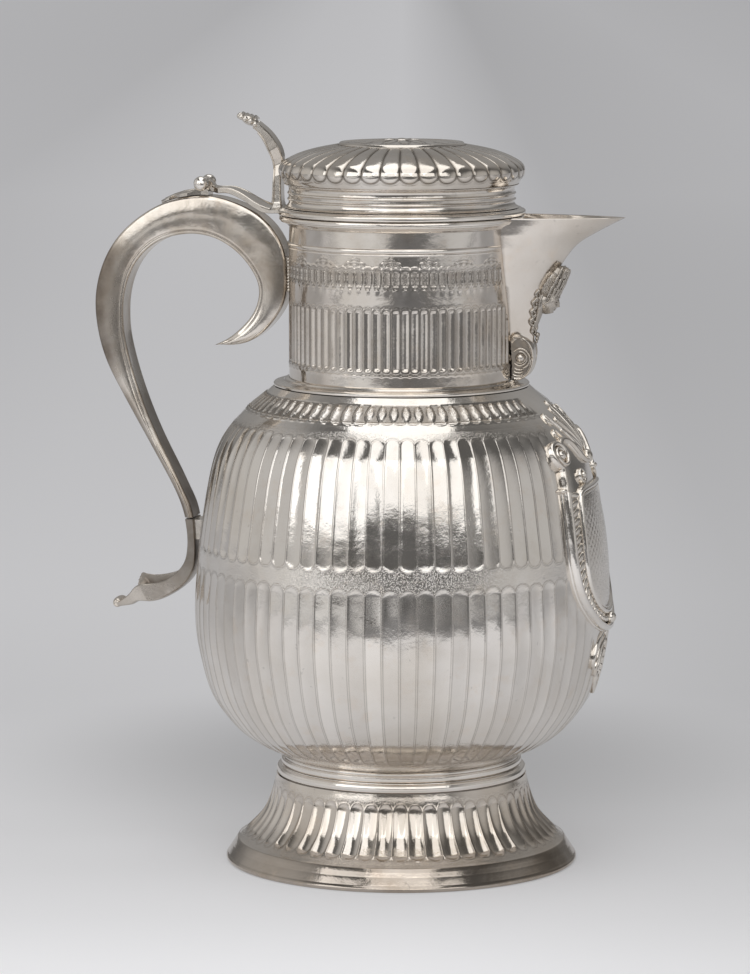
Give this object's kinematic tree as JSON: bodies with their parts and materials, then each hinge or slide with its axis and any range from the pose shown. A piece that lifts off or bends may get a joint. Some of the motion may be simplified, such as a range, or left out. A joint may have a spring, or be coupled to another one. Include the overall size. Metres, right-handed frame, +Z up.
{
  "type": "water pitcher",
  "caption": "Lidded silver water pitcher with a fluted globular body, cylindrical neck, beak spout with mask, scroll handle and hinged gadrooned lid.",
  "frame": {"origin": "centre of the foot's resting circle", "axes": "+Z up along the vessel's axis, +X towards the spout, -X towards the handle, +Y to the far side when the spout points right"},
  "size_m": [0.2134, 0.1654, 0.2989],
  "materials": {
    "polished_silver": "polished silver, softly aged, chased flutes",
    "cast_silver": "cast and chased silver with dark patina in the recesses",
    "tarnished_silver": "hand-worn silver with brownish tarnish"
  },
  "bodies": {
    "vessel": {"foot_base_moulding": "polished_silver", "foot_flare": "polished_silver", "foot_collar_lower": "polished_silver", "foot_collar_upper": "polished_silver", "body_lower_shell": "polished_silver", "body_upper_shell": "polished_silver", "neck_base_ring": "polished_silver", "neck_tube": "polished_silver", "neck_wire_ring": "polished_silver", "neck_rim_moulding": "polished_silver", "spout_shell": "polished_silver", "spout_bracket": "cast_silver", "spout_bracket_beads": "cast_silver", "spout_mask": "cast_silver", "cartouche_field": "cast_silver", "cartouche_inner_border": "cast_silver", "cartouche_rope": "cast_silver", "cartouche_outer_border": "cast_silver", "cartouche_volutes": "cast_silver", "cartouche_crest": "cast_silver", "cartouche_pendant": "cast_silver", "handle_back_strap": "tarnished_silver", "handle_inner_strap": "tarnished_silver", "handle_side_near": "tarnished_silver", "handle_side_far": "tarnished_silver", "handle_terminal": "tarnished_silver", "handle_body_pad": "tarnished_silver", "handle_neck_pad": "tarnished_silver", "hinge_leaf": "cast_silver", "hinge_pin": "cast_silver", "hinge_ball_near": "cast_silver", "hinge_ball_far": "cast_silver"},
    "lid": {"lid_strap": "cast_silver", "lid_base_ring": "polished_silver", "lid_bezel": "polished_silver", "lid_wall": "polished_silver", "lid_dome_shoulder": "polished_silver", "lid_dome_crown": "polished_silver", "lid_medallion": "polished_silver", "thumbpiece": "cast_silver", "thumbpiece_tip": "cast_silver"}
  },
  "joints": [
    {"name": "lid_hinge", "type": "hinge", "parent": "vessel", "child": "lid", "pos_m": [-0.0799, 0, 0.271], "axis": [0, -1, 0], "range_deg": [0, 105]}
  ]
}
